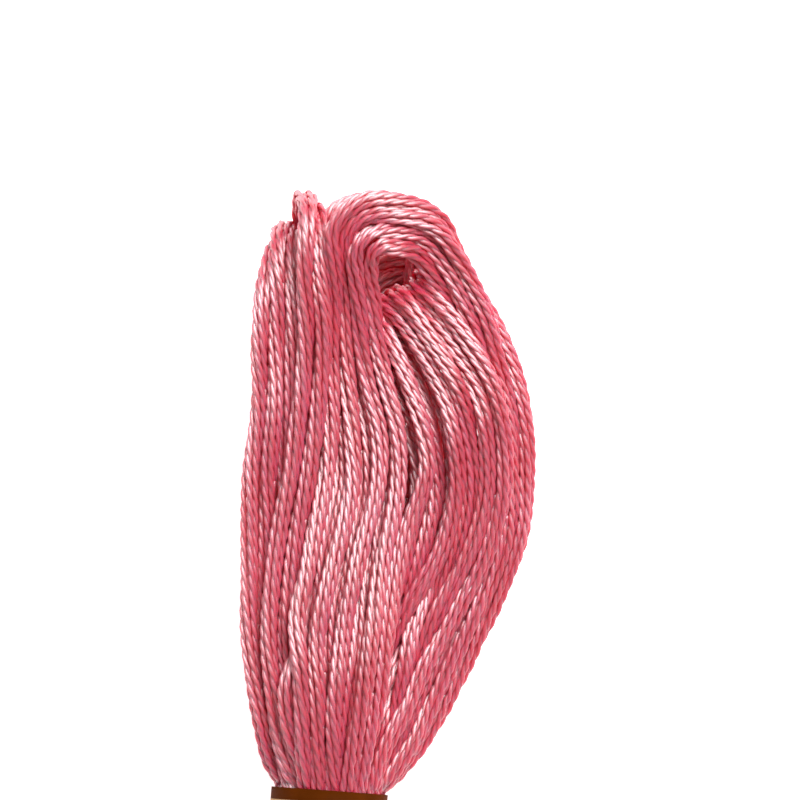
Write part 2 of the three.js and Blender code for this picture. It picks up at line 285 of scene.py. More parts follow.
@dataclass(frozen=True)
class Bundle:
    """Turns that run together.

    Attributes:
        name: what they are called, which is also in the names of their pieces.
        rows: flosses in each layer, from the outer layer in.
        side: how the bundle's width lies.
        sections: its sections along the turns.
        wander: how far a floss strays from its place, in millimetres.
        below: whether the turns hang below the band and lean with it.
        corner: how much lower the leftmost turns end than the others, in millimetres.
        corner_from: how far up the skein that lowering starts.
        corner_over: the length over which it grows.
        fold: how far a folded bundle's width is turned from X, in radians.
        crown: share of its depth that the bundle loses at its edges.
        fine: the distance between the points that a route is first worked out at.
    """

    name: str
    rows: tuple[int, ...]
    side: Side
    sections: tuple[Section, ...]
    wander: float = 0.3
    below: bool = False
    corner: float = 0.0
    corner_from: float = 34.0
    corner_over: float = 8.0
    fold: float = 0.0
    crown: float = 0.45
    fine: float = 0.5

    def routes(
        self, rng: np.random.Generator, neck: Neck, floss: float, spacing: float
    ) -> list[np.ndarray]:
        """Lay each floss of the bundle on its own route.

        Args:
            rng: the source of its small unevenness.
            neck: the neck that the lower turns lean with.
            floss: the width of a floss.
            spacing: the distance between a route's points.

        Returns:
            One array for each floss. A row of it holds a point, then the middle of the bundle beside it,
            the bundle's two side directions, and half its width and depth.
        """
        table = np.array([[s.x, s.y, s.z, s.wide, s.deep] for s in self.sections])
        fine = respace(smooth_rows(table, ROUTE_SAMPLES * len(table)), self.fine)
        centre, wide, deep = fine[:, :3], fine[:, 3:4], fine[:, 4:5]
        tangent = unit(np.gradient(centre, axis=0))
        if self.side is Side.FOLDED:
            ridge = np.array([math.cos(self.fold), math.sin(self.fold), 0.0])
            across = unit(ridge - tangent * (tangent @ ridge)[:, None])
        else:
            across = unit(np.cross(tangent, [0.0, 0.0, 1.0]))
        outward = np.cross(across, tangent)
        length = np.arange(len(fine)) * self.fine
        reach_wide = np.maximum(wide - floss / 2, 0.1)
        reach_deep = np.maximum(deep - floss / 2, 0.0)
        columns = sum(self.rows)
        even = len(set(self.rows)) == 1
        paths = []
        for layer, count in enumerate(self.rows):
            v = 0.0 if len(self.rows) == 1 else 1 - 2 * layer / (len(self.rows) - 1)
            for k in range(count):
                column = layer + k * len(self.rows) if even else (k + 0.5) * columns / count - 0.5
                u = 0.0 if columns == 1 else 2 * column / (columns - 1) - 1
                stray_u = drift(rng, length, SIDEWAYS_WAVE, self.wander)[:, None]
                stray_v = drift(rng, length, INWARD_WAVE, self.wander * 0.8)[:, None]
                layered = (1 - self.crown * u * u) * v
                path = centre + across * (u * reach_wide + stray_u)
                path = path + outward * (layered * reach_deep + stray_v)
                past = np.clip((path[:, 1] - self.corner_from) / self.corner_over, 0, 1)
                path[:, 1] -= self.corner * (past**2 * max(0, -u) ** 2)
                if self.below:
                    path, middle = neck.lean(path), neck.lean(centre)
                    sides = neck.lean(across), neck.lean(outward)
                else:
                    middle, sides = centre, (across, outward)
                paths.append(respace(np.hstack([path, middle, *sides, wide, deep]), spacing))
        return paths


FOLDED_TURNS = Bundle(
    "folded_turns",
    (4, 3),
    Side.FOLDED,
    sections(
        (-2.7, -3, 5.2, 1.5, 2.0),
        (-3.1, 0, 5.4, 1.5, 2.1),
        (-3.8, 4, 5.6, 1.7, 2.0),
        (-4.15, 7.7, 5.7, 2.15, 1.9),
        (-4.3, 11.5, 5.8, 2.4, 1.75),
        (-4.2, 15.4, 5.9, 2.6, 1.6),
        (-4.0, 20, 6.0, 2.8, 1.5),
        (-3.9, 24.6, 6.1, 2.8, 1.45),
        (-3.6, 29.2, 6.2, 2.35, 1.5),
        (-3.5, 33.8, 6.1, 2.4, 1.5),
        (-3.4, 37.7, 6.0, 2.2, 1.5),
        (-3.3, 40.2, 5.6, 2.0, 1.5),
        (-2.8, 42.2, 4.6, 1.9, 1.5),
        (-1.9, 42.4, 3.2, 1.9, 1.4),
        (-1.1, 40.6, 1.9, 2.3, 1.2),
        (-0.1, 36.5, 1.3, 3.7, 1.1),
        (2.8, 31, 1.2, 5.0, 1.0),
        (4.3, 24, 1.2, 5.2, 1.0),
        (3.3, 16, 1.3, 4.7, 1.0),
        (1.3, 8, 1.5, 3.4, 1.1),
        (-0.4, 0, 2.3, 2.4, 1.3),
        (-0.6, -3, 2.3, 2.2, 1.3),
    ),
    corner=3.5,
    corner_from=33.0,
)
ARCHING_TURNS = Bundle(
    "arching_turns",
    (4, 3),
    Side.FLAT,
    sections(
        (-0.6, -3, 6.9, 2.3, 1.2),
        (-0.6, 0, 7.3, 2.6, 1.2),
        (-0.6, 4, 8.1, 3.2, 1.2),
        (-0.35, 8.2, 8.4, 3.8, 1.2),
        (0.1, 12.4, 8.1, 4.0, 1.2),
        (0.75, 15.5, 7.7, 3.85, 1.2),
        (1.8, 19.9, 7.0, 3.7, 1.2),
        (2.5, 23.2, 6.5, 3.5, 1.2),
        (2.6, 26.9, 6.1, 3.3, 1.2),
        (2.3, 30, 5.9, 2.85, 1.25),
        (1.95, 33.1, 5.9, 2.35, 1.3),
        (1.8, 35.4, 6.1, 2.05, 1.35),
        (1.7, 37.7, 6.6, 1.95, 1.4),
        (1.4, 40.0, 7.4, 2.05, 1.4),
        (1.6, 42.0, 8.0, 2.25, 1.45),
        (3.0, 43.3, 8.1, 2.25, 1.45),
        (5.2, 43.3, 7.8, 2.25, 1.45),
        (7.4, 42.6, 7.0, 2.1, 1.4),
        (8.75, 40.4, 6.2, 1.75, 1.4),
        (10.2, 37.9, 5.6, 1.6, 1.5),
        (11.8, 35.0, 5.2, 1.6, 1.45),
        (13.2, 31.3, 4.8, 1.6, 1.4),
        (13.9, 27.5, 4.6, 1.65, 1.4),
        (13.8, 23.5, 4.4, 1.7, 1.4),
        (13.1, 19.4, 4.3, 1.8, 1.35),
        (11.3, 15.2, 4.2, 1.9, 1.35),
        (9.3, 11.2, 4.2, 1.95, 1.35),
        (7.4, 7.4, 4.3, 1.95, 1.35),
        (5.8, 4.2, 4.5, 1.8, 1.4),
        (4.0, 1.2, 4.6, 1.4, 1.5),
        (2.9, -3, 4.6, 1.1, 1.5),
    ),
)
UNDER_TURNS = Bundle(
    "under_turns",
    (3, 2),
    Side.FLAT,
    sections(
        (-0.3, -3, 5.3, 1.9, 1.1),
        (-0.3, 4, 5.6, 2.2, 1.1),
        (0.2, 11.5, 5.6, 2.7, 1.0),
        (1.3, 18.8, 4.7, 2.8, 1.0),
        (1.9, 26.2, 4.0, 2.6, 1.0),
        (1.7, 32.0, 3.5, 2.3, 1.0),
        (1.5, 35.5, 3.1, 2.2, 1.0),
        (2.3, 38.1, 2.5, 2.1, 1.0),
        (4.1, 39.5, 2.0, 2.0, 1.0),
        (6.3, 39.6, 1.9, 2.0, 1.0),
        (8.3, 38.6, 1.9, 2.2, 1.0),
        (10.2, 36.3, 2.0, 2.5, 1.0),
        (11.5, 33.0, 2.1, 2.7, 0.9),
        (12.0, 29.0, 2.1, 2.8, 0.8),
        (11.8, 25.0, 2.0, 2.9, 0.8),
        (11.1, 21.0, 1.9, 2.9, 0.8),
        (9.9, 17.0, 1.9, 2.8, 0.8),
        (8.2, 13.0, 2.0, 2.6, 0.8),
        (6.4, 9.0, 2.1, 2.3, 0.9),
        (4.8, 5.0, 2.4, 2.0, 1.0),
        (3.4, 1.2, 2.8, 1.6, 1.1),
        (2.4, -3, 2.9, 1.3, 1.1),
    ),
)
INNER_TURNS = Bundle(
    "inner_turns",
    (4,),
    Side.FOLDED,
    sections(
        (0.2, -3, 4.6, 1.7, 1.1),
        (0.2, 0, 4.6, 1.8, 1.1),
        (0.4, 10, 4.5, 2.2, 0.9),
        (0.9, 20, 4.1, 2.3, 0.9),
        (2.0, 28, 3.5, 2.3, 0.9),
        (3.4, 33.3, 3.0, 2.3, 0.9),
        (4.6, 36.8, 3.1, 2.4, 0.9),
        (5.4, 38.4, 4.1, 2.4, 0.9),
        (6.0, 38.4, 5.5, 2.4, 0.9),
        (7.6, 36.4, 6.3, 2.4, 0.9),
        (9.4, 33.4, 6.7, 2.5, 0.9),
        (10.6, 30.9, 6.8, 2.5, 0.9),
        (11.3, 28.2, 6.6, 2.45, 0.9),
        (11.6, 25.4, 6.2, 2.4, 0.9),
        (11.4, 22.3, 5.9, 2.35, 0.9),
        (10.3, 18.4, 5.7, 2.3, 0.9),
        (8.4, 14.8, 5.6, 2.2, 0.9),
        (6.2, 11.0, 5.6, 2.1, 0.9),
        (4.3, 6.9, 5.8, 1.9, 0.9),
        (2.9, 3.1, 6.0, 1.6, 0.95),
        (2.4, 0, 6.1, 1.5, 1.0),
        (2.2, -3, 6.2, 1.4, 1.0),
    ),
    fold=math.radians(37),
)
CROSSING_TURN = Bundle(
    "crossing_turn",
    (1,),
    Side.FLAT,
    sections(
        (0.4, -3, 3.6),
        (1.0, 20, 3.4),
        (1.9, 30, 3.4),
        (2.7, 34.5, 3.4),
        (3.1, 36.5, 3.9),
        (3.5, 36.7, 4.8),
        (4.0, 35.4, 5.6),
        (4.9, 33.5, 6.2),
        (5.9, 31.1, 6.5),
        (6.8, 28.6, 6.7),
        (7.4, 26.2, 6.8),
        (7.4, 24.2, 6.9),
        (6.8, 22.3, 6.9),
        (5.8, 19.5, 7.1),
        (4.8, 15, 7.6),
        (4.3, 12, 7.9),
        (3.7, 8, 8.1),
        (2.8, 3, 7.8),
        (2.3, 0, 7.2),
        (2.1, -3, 7.0),
    ),
    wander=0.0,
)
MIDDLE_TURNS = Bundle(
    "middle_turns",
    (3,),
    Side.FLAT,
    sections(
        (0.0, -3, 3.8, 1.2, 1.0),
        (0.6, 10, 3.8, 1.5, 0.8),
        (1.4, 22, 3.8, 1.7, 0.8),
        (2.2, 29, 3.7, 1.7, 0.8),
        (3.0, 33.0, 3.7, 1.7, 0.8),
        (4.1, 34.2, 4.0, 1.7, 0.8),
        (5.3, 33.2, 4.5, 1.8, 0.8),
        (6.5, 31.4, 4.7, 1.9, 0.8),
        (7.4, 28.9, 4.9, 2.0, 0.8),
        (8.0, 26.0, 5.0, 2.0, 0.8),
        (8.2, 23.0, 5.1, 2.0, 0.8),
        (7.6, 19.5, 5.3, 2.0, 0.8),
        (6.4, 14.8, 5.5, 1.8, 0.8),
        (4.8, 9.5, 5.7, 1.6, 0.8),
        (3.2, 3, 5.8, 1.4, 0.9),
        (2.4, -3, 5.8, 1.3, 0.9),
    ),
)
PROUD_TURNS = Bundle(
    "proud_turns",
    (1, 1),
    Side.FOLDED,
    sections(
        (-2.2, -3, 6.9, 1.2, 0.75),
        (-2.7, 2, 7.2, 1.3, 0.75),
        (-3.4, 6, 7.4, 1.35, 0.75),
        (-3.9, 11, 7.5, 1.35, 0.75),
        (-3.7, 16, 7.4, 1.35, 0.75),
        (-2.9, 21, 7.3, 1.35, 0.75),
        (-2.1, 25.5, 7.3, 1.35, 0.75),
        (-1.5, 30, 7.5, 1.35, 0.75),
        (-1.15, 34, 7.8, 1.35, 0.75),
        (-1.0, 38, 8.2, 1.3, 0.75),
        (-0.95, 41, 8.4, 1.25, 0.8),
        (-1.1, 43.0, 8.0, 1.1, 1.0),
        (-1.35, 44.7, 6.9, 0.95, 1.1),
        (-1.65, 45.1, 5.5, 0.95, 1.1),
        (-1.8, 44.0, 3.9, 1.0, 1.1),
        (-1.8, 41, 2.5, 1.05, 0.8),
        (-1.5, 34, 1.9, 1.2, 0.8),
        (-1.6, 20, 1.9, 1.2, 0.8),
        (-2.4, 8, 2.2, 1.2, 0.8),
        (-2.6, -3, 2.9, 1.2, 0.8),
    ),
    wander=0.0,
)
CORNER_TURN = Bundle(
    "corner_turn",
    (1,),
    Side.FLAT,
    sections(
        (-1.2, -3, 4.6),
        (-0.8, 10, 5.0),
        (-0.6, 20, 5.3),
        (-0.5, 30, 5.5),
        (-0.4, 36, 5.9),
        (-0.3, 40, 6.2),
        (-0.4, 43.0, 6.4),
        (0.1, 44.8, 6.2),
        (1.7, 45.3, 5.7),
        (3.5, 45.0, 4.9),
        (5.1, 44.2, 3.9),
        (6.3, 42.6, 3.1),
        (6.6, 40, 2.5),
        (5.8, 34, 2.1),
        (4.0, 20, 2.0),
        (1.0, 8, 2.2),
        (-1.0, -3, 2.9),
    ),
    wander=0.0,
)
LOWER_OUTER_TURNS = Bundle(
    "lower_outer_turns",
    (5, 5, 5),
    Side.FLAT,
    sections(
        (-2.2, -45, 4.6, 1.9, 2.8),
        (-2.4, -48, 4.7, 2.0, 2.8),
        (-3.4, -54, 4.4, 2.1, 2.7),
        (-4.9, -63, 3.8, 2.1, 2.5),
        (-5.6, -72, 3.2, 2.1, 2.4),
        (-5.0, -80, 2.8, 2.0, 2.3),
        (-2.6, -85.8, 2.6, 1.9, 2.3),
        (0.6, -87.2, 2.5, 1.9, 2.3),
        (3.7, -84.8, 2.6, 1.9, 2.3),
        (5.4, -78.5, 2.8, 2.0, 2.3),
        (5.7, -70, 3.2, 2.1, 2.4),
        (4.6, -61, 3.9, 2.1, 2.5),
        (3.2, -53, 4.5, 2.0, 2.7),
        (2.4, -48, 4.7, 2.0, 2.8),
        (2.2, -45, 4.6, 1.9, 2.8),
    ),
    below=True,
)
LOWER_FOLDED_TURNS = Bundle(
    "lower_folded_turns",
    (5, 5, 5),
    Side.FOLDED,
    sections(
        (0.0, -45, 7.0, 2.3, 1.5),
        (0.0, -48, 7.0, 2.4, 1.6),
        (0.2, -57, 6.8, 2.9, 1.7),
        (0.4, -67, 6.3, 3.3, 1.8),
        (0.4, -75, 5.7, 3.3, 1.8),
        (0.3, -80.5, 4.8, 3.0, 1.7),
        (0.2, -82.2, 3.4, 2.9, 1.6),
        (0.2, -79.5, 2.1, 3.2, 1.5),
        (0.1, -72, 1.6, 4.0, 1.4),
        (0.0, -62, 1.6, 3.8, 1.4),
        (0.0, -54, 1.9, 3.0, 1.4),
        (0.0, -48, 2.4, 2.4, 1.5),
        (0.0, -45, 2.4, 2.2, 1.5),
    ),
    below=True,
)
UPPER_BUNDLES = (
    FOLDED_TURNS,
    ARCHING_TURNS,
    UNDER_TURNS,
    INNER_TURNS,
    CROSSING_TURN,
    MIDDLE_TURNS,
    PROUD_TURNS,
    CORNER_TURN,
)
LOWER_BUNDLES = (LOWER_OUTER_TURNS, LOWER_FOLDED_TURNS)


class Relaxer:
    """Settles paths beside and over one another, each near its guide and none through another."""

    def __init__(self, paths: list[np.ndarray], neck: Neck, width: float, spacing: float) -> None:
        """Take the paths in.

        Args:
            paths: the paths' guides, with their bundle's middle, sides and half sizes where they
                keep to one.
            neck: the oval that holds their ends.
            width: how far apart the middles of two paths lie in the open.
            spacing: the distance between a path's points.
        """
        self.counts = [len(p) for p in paths]
        columns = np.concatenate(paths)
        self.guide = columns[:, :3]
        self.bundle = columns[:, 3:]
        self.points = self.guide.copy()
        self.path = np.repeat(np.arange(len(paths)), self.counts)
        self.index = np.concatenate([np.arange(c) for c in self.counts])
        ends = np.cumsum(self.counts) - 1
        starts = ends - np.array(self.counts) + 1
        every = np.arange(len(self.guide))
        self.before = np.maximum(every - 1, starts[self.path])
        self.after = np.minimum(every + 1, ends[self.path])
        self.neck = neck
        self.spacing = spacing
        self.width = width * self._openness()
        self.pairs: tuple[np.ndarray, np.ndarray] = (np.zeros(0, int), np.zeros(0, int))

    def _openness(self) -> np.ndarray:
        """Say how open the turns are at each point.

        Returns:
            A share of their open width, smallest in the band.
        """
        y = self.neck.straighten(self.guide)[:, 1]
        past = np.where(y > -self.neck.length / 2, y, -self.neck.length - y)
        share = np.clip(past / self.neck.opens_over, 0, 1)
        return self.neck.tight + (1 - self.neck.tight) * share * share * (3 - 2 * share)

    def _find_pairs(self) -> None:
        """List the points that are near enough to touch."""
        reach = math.hypot(float(self.width.max()) * TOUCH_REACH, self.spacing * STEP_REACH)
        cell = np.floor((self.points - self.points.min(0)) / reach).astype(np.int64) + 1
        size = cell.max(0) + 2
        key = (cell[:, 0] * size[1] + cell[:, 1]) * size[2] + cell[:, 2]
        order = np.argsort(key, kind="stable")
        in_order = key[order]
        firsts, seconds = [], []
        for dx, dy, dz in product((-1, 0, 1), repeat=3):
            shift = (dx * size[1] + dy) * size[2] + dz
            if shift < 0:
                continue
            low = np.searchsorted(in_order, key + shift, "left")
            count = np.searchsorted(in_order, key + shift, "right") - low
            first = np.repeat(np.arange(len(key)), count)
            within = np.arange(len(first)) - np.repeat(np.cumsum(count) - count, count)
            second = order[np.repeat(low, count) + within]
            keep = second > first if shift == 0 else second >= 0
            firsts.append(first[keep])
            seconds.append(second[keep])
        i, j = np.concatenate(firsts), np.concatenate(seconds)
        near = np.linalg.norm(self.points[i] - self.points[j], axis=1) < reach
        skip = int(math.ceil(OWN_WIDTHS * float(self.width.max()) / self.spacing))
        same = (self.path[i] == self.path[j]) & (np.abs(self.index[i] - self.index[j]) <= skip)
        keep = near & ~same
        self.pairs = (i[keep], j[keep])

    def _push_apart(self, strength: float) -> None:
        """Move touching points apart, square to the paths that they touch.

        Args:
            strength: share of an overlap that one step takes out.
        """
        tangent = unit(self.points[self.after] - self.points[self.before])
        total = np.zeros_like(self.points)
        touches = np.zeros(len(self.points))
        for i, j in (self.pairs, self.pairs[::-1]):
            gap = self.points[i] - self.points[j]
            along = np.einsum("ij,ij->i", gap, tangent[j])
            lateral = gap - along[:, None] * tangent[j]
            distance = np.linalg.norm(lateral, axis=1)
            wanted = 0.5 * (self.width[i] + self.width[j])
            over = np.where(np.abs(along) < PUSH_REACH * self.spacing, wanted - distance, 0)
            hit = over > 0
            a, b = i[hit], j[hit]
            move = lateral[hit] * (0.5 * over[hit] / np.maximum(distance[hit], 1e-4))[:, None]
            for axis in range(3):
                total[:, axis] += np.bincount(a, move[:, axis], len(total))
                total[:, axis] -= np.bincount(b, move[:, axis], len(total))
            touches += np.bincount(a, minlength=len(total)) + np.bincount(b, minlength=len(total))
        self.points += strength * total / np.maximum(touches, 1)[:, None] * 2

    def _hold(self) -> None:
        """Keep the points above the surface and inside the band."""
        radius = self.width / 2
        self.points[:, 2] = np.maximum(self.points[:, 2], radius)
        straight = self.neck.straighten(self.points)
        below, above = -self.neck.length - BAND_MARGIN, BAND_MARGIN
        inside = (straight[:, 1] < above) & (straight[:, 1] > below)
        a = self.neck.half_width - self.neck.slack - radius
        b = self.neck.half_depth - self.neck.slack - radius
        height = straight[:, 2] - self.neck.height
        out = np.hypot(straight[:, 0] / a, height / b)
        scale = np.where(inside & (out > 1), 1 / np.maximum(out, 1e-6), 1)
        straight[:, 0] *= scale
        straight[:, 2] = self.neck.height + height * scale
        self.points = self.neck.lean(straight)

    def _gather(self, strength: float) -> None:
        """Bring points that have left their bundle's outline back towards it.

        Args:
            strength: share of the way that one step takes them.
        """
        middle, across, outward = self.bundle[:, :3], self.bundle[:, 3:6], self.bundle[:, 6:9]
        radius = self.width / 2
        wide = np.maximum(self.bundle[:, 9] - radius, LEAST_REACH)
        deep = np.maximum(self.bundle[:, 10] - radius, LEAST_REACH)
        offset = self.points - middle
        u = np.einsum("ij,ij->i", offset, across)
        v = np.einsum("ij,ij->i", offset, outward)
        past_u = strength * np.sign(u) * np.maximum(np.abs(u) - wide, 0)
        past_v = strength * np.sign(v) * np.maximum(np.abs(v) - deep, 0)
        self.points -= across * past_u[:, None] + outward * past_v[:, None]

    def settle(self, steps: int, pull: float, smooth: float, strength: float = 0.7) -> list[np.ndarray]:
        """Settle the paths.

        Args:
            steps: how many steps to take.
            pull: share of the way back to its guide that a point goes in a step.
            smooth: share of a point's stray that is evened out along its path in a step.
            strength: share of an overlap that one step takes out.

        Returns:
            The settled paths.
        """
        for step in range(steps):
            if step % PAIRS_EVERY == 0:
                self._find_pairs()
            self._push_apart(strength)
            stray = (self.points - self.guide) * (1 - pull)
            even = 0.5 * (stray[self.before] + stray[self.after])
            self.points = self.guide + (1 - smooth) * stray + smooth * even
            if self.bundle.shape[1]:
                self._gather(GATHERED)
            self._hold()
        return np.split(self.points, np.cumsum(self.counts)[:-1])


def carry_frames(paths: list[np.ndarray]) -> list[tuple[np.ndarray, np.ndarray]]:
    """Carry a pair of side directions along each path without twisting them.

    Args:
        paths: the paths.

    Returns:
        For each path its two side directions at each point.
    """
    longest = max(len(p) for p in paths)
    padded = np.stack([np.vstack([p, np.repeat(p[-1:], longest - len(p), axis=0)]) for p in paths])
    tangent = unit(np.gradient(padded, axis=1))
    for k, path in enumerate(paths):
        tangent[k, len(path) - 1 :] = unit(path[-1] - path[-2])
    normal = np.zeros_like(padded)
    start = np.cross(tangent[:, 0], [0.0, 0.0, 1.0])
    normal[:, 0] = unit(start)
    for i in range(1, longest):
        held = normal[:, i - 1]
        ahead = tangent[:, i]
        normal[:, i] = unit(held - ahead * np.einsum("ij,ij->i", held, ahead)[:, None])
    other = np.cross(tangent, normal)
    return [(normal[k, : len(p)], other[k, : len(p)]) for k, p in enumerate(paths)]


def find_folds(path: np.ndarray, thread: Thread) -> tuple[np.ndarray, np.ndarray, np.ndarray]:
    """Find where a floss folds so sharply that its strands spread side by side.

    Args:
        path: the floss's route.
        thread: how the floss is laid.

    Returns:
        At each point the direction into the bend, the direction along the fold and how far the floss
        flattens there, from 0 to 1.
    """
    tangent = unit(np.gradient(path, axis=0))
    step = np.linalg.norm(np.gradient(path, axis=0), axis=1)
    bend = np.gradient(tangent, axis=0) / step[:, None]
    reach = 4
    kernel = np.hanning(2 * reach + 1)
    kernel /= kernel.sum()
    padded = (np.pad(column, reach, mode="edge") for column in bend.T)
    bend = np.stack([np.convolve(column, kernel, "valid") for column in padded], axis=1)
    flat = np.clip((np.linalg.norm(bend, axis=1) - thread.folds_from) / thread.folds_over, 0, 1)
    inward = unit(bend)
    return inward, unit(np.cross(tangent, inward)), flat


def lay_strands(rng: np.random.Generator, flosses: list[np.ndarray], thread: Thread) -> list[np.ndarray]:
    """Lay each floss's strands round its middle.

    Args:
        rng: the source of their unevenness.
        flosses: the flosses' routes.
        thread: how the floss is laid.

    Returns:
        The strands' routes, those of one floss after those of another.
    """
    strands = []
    ring = thread.strand_count - 1
    for path, (side, up) in zip(flosses, carry_frames(flosses)):
        length = run_of(path)
        inward, over, flat = find_folds(path, thread)
        start = rng.uniform(0, 2 * math.pi)
        turn = start - 2 * math.pi * length / thread.floss_pitch + drift(rng, length, wave=50, size=0.5)
        for k in range(thread.strand_count):
            if k == ring:
                radius = np.abs(drift(rng, length, wave=30, size=0.08))
            else:
                radius = thread.strand_width * thread.ring_share + drift(rng, length, wave=22, size=0.04)
            angle = turn + 2 * math.pi * k / ring + drift(rng, length, wave=26, size=0.16)
            offset = (side * np.cos(angle)[:, None] + up * np.sin(angle)[:, None]) * radius[:, None]
            spread = over * np.einsum("ij,ij->i", offset, over)[:, None]
            squeezed = inward * np.einsum("ij,ij->i", offset, inward)[:, None]
            folded = thread.spread * spread - thread.squeezed * squeezed
            strands.append(path + offset + flat[:, None] * folded)
    return strands


def ring_faces(count: int, sides: int) -> np.ndarray:
    """List the four corners of each face of a tube.

    Args:
        count: its rings.
        sides: points in a ring.

    Returns:
        One row of point numbers for each face.
    """
    ring = np.arange(count - 1)[:, None] * sides
    around = np.arange(sides)[None, :]
    after = (around + 1) % sides
    faces = [ring + around, ring + after, ring + sides + after, ring + sides + around]
    return np.stack(faces, axis=-1).reshape(-1, 4)


def add_object(name: str, data: bpy.types.ID) -> bpy.types.Object:
    """Make an object and link it into the scene.

    Args:
        name: what it is called.
        data: its mesh, camera or light.

    Returns:
        The object.
    """
    made = bpy.data.objects.new(name, data)
    bpy.context.scene.collection.objects.link(made)
    return made


@dataclass
class TubeMesh:
    """Gathers tubes into one mesh with a lengthwise UV map and a tone for each tube.

    Attributes:
        name: the object's name.
        points: each tube's points.
        faces: its four-sided faces.
        caps: its two ends.
        coords: the places of its faces' corners on the UV map.
        cap_coords: the same for its ends.
        tones: the tone at each of its points.
        ways: the way that its fibres run there.
        total: how many points there are.
    """

    name: str
    points: list[np.ndarray] = field(default_factory=list)
    faces: list[np.ndarray] = field(default_factory=list)
    caps: list[np.ndarray] = field(default_factory=list)
    coords: list[np.ndarray] = field(default_factory=list)
    cap_coords: list[np.ndarray] = field(default_factory=list)
    tones: list[np.ndarray] = field(default_factory=list)
    ways: list[np.ndarray] = field(default_factory=list)
    total: int = 0

    def add(self, rings: np.ndarray, length: np.ndarray, tone: float, way: np.ndarray) -> None:
        """Add one tube.

        Args:
            rings: its rings of points, going round the way that faces out.
            length: how far along the thread each ring lies, in millimetres.
            tone: a number from 0 to 1 that tells its colour from its neighbours'.
            way: the way that its fibres run at each ring.
        """
        count, sides = rings.shape[:2]
        base = self.total
        self.faces.append(ring_faces(count, sides) + base)
        shape = (count - 1, sides)
        u = np.broadcast_to(np.arange(sides)[None, :] / sides, shape)
        v = np.broadcast_to(length[:-1, None], shape)
        w = np.broadcast_to(length[1:, None], shape)
        step = 1 / sides
        uv = np.stack([u, v, u + step, v, u + step, w, u, w], axis=-1)
        self.coords.append(uv.reshape(-1, 2))
        last = base + (count - 1) * sides
        self.caps.append(np.stack([base + np.arange(sides)[::-1], last + np.arange(sides)]))
        cap_uv = np.stack([np.full(2 * sides, 0.5), np.repeat(length[[0, -1]], sides)], axis=1)
        self.cap_coords.append(cap_uv)
        self.points.append(rings.reshape(-1, 3))
        self.tones.append(np.full(count * sides, tone))
        self.ways.append(np.repeat(way, sides, axis=0))
        self.total += count * sides

    def build(self, origin: np.ndarray) -> bpy.types.Object:
        """Make the mesh object.

        Args:
            origin: where the thread's own origin lies in the row frame, in millimetres.

        Returns:
            The new object.
        """
        points = (np.concatenate(self.points) + origin) * MM
        quads = np.concatenate(self.faces)
        caps = [c for pair in self.caps for c in pair]
        corners = np.concatenate([quads.ravel(), *caps])
        sizes = np.concatenate([np.full(len(quads), 4), [len(c) for c in caps]]).astype(np.int32)
        mesh = bpy.data.meshes.new(self.name)
        mesh.vertices.add(len(points))
        mesh.vertices.foreach_set("co", points.astype(np.float32).ravel())
        mesh.loops.add(len(corners))
        mesh.loops.foreach_set("vertex_index", corners.astype(np.int32))
        mesh.polygons.add(len(sizes))
        mesh.polygons.foreach_set("loop_start", (np.cumsum(sizes) - sizes).astype(np.int32))
        mesh.polygons.foreach_set("loop_total", sizes)
        mesh.polygons.foreach_set("use_smooth", np.ones(len(sizes), bool))
        uv = mesh.uv_layers.new(name="Thread")
        coords = np.concatenate([*self.coords, *self.cap_coords])
        uv.data.foreach_set("uv", coords.astype(np.float32).ravel())
        tone = mesh.attributes.new("tone", "FLOAT", "POINT")
        tone.data.foreach_set("value", np.concatenate(self.tones).astype(np.float32))
        fibres = mesh.attributes.new("fibres", "FLOAT_VECTOR", "POINT")
        fibres.data.foreach_set("vector", np.concatenate(self.ways).astype(np.float32).ravel())
        mesh.update(calc_edges=True)
        mesh.validate()
        return add_object(self.name, mesh)


def rings_round(centre: np.ndarray, out: np.ndarray, radius: np.ndarray, sides: int) -> np.ndarray:
    """Set rings of points round a path.

    Args:
        centre: the path's points.
        out: a direction away from the path at each point, where its rings start.
        radius: the tube's radius at each point.
        sides: points in a ring.

    Returns:
        The rings.
    """
    tangent = unit(np.gradient(centre, axis=0))
    first = unit(out - tangent * np.einsum("ij,ij->i", out, tangent)[:, None])
    second = np.cross(tangent, first)
    angle = 2 * math.pi * np.arange(sides) / sides
    cos, sin = np.cos(angle)[None, :, None], np.sin(angle)[None, :, None]
    circle = first[:, None] * cos + second[:, None] * sin
    return centre[:, None] + circle * radius[:, None, None]


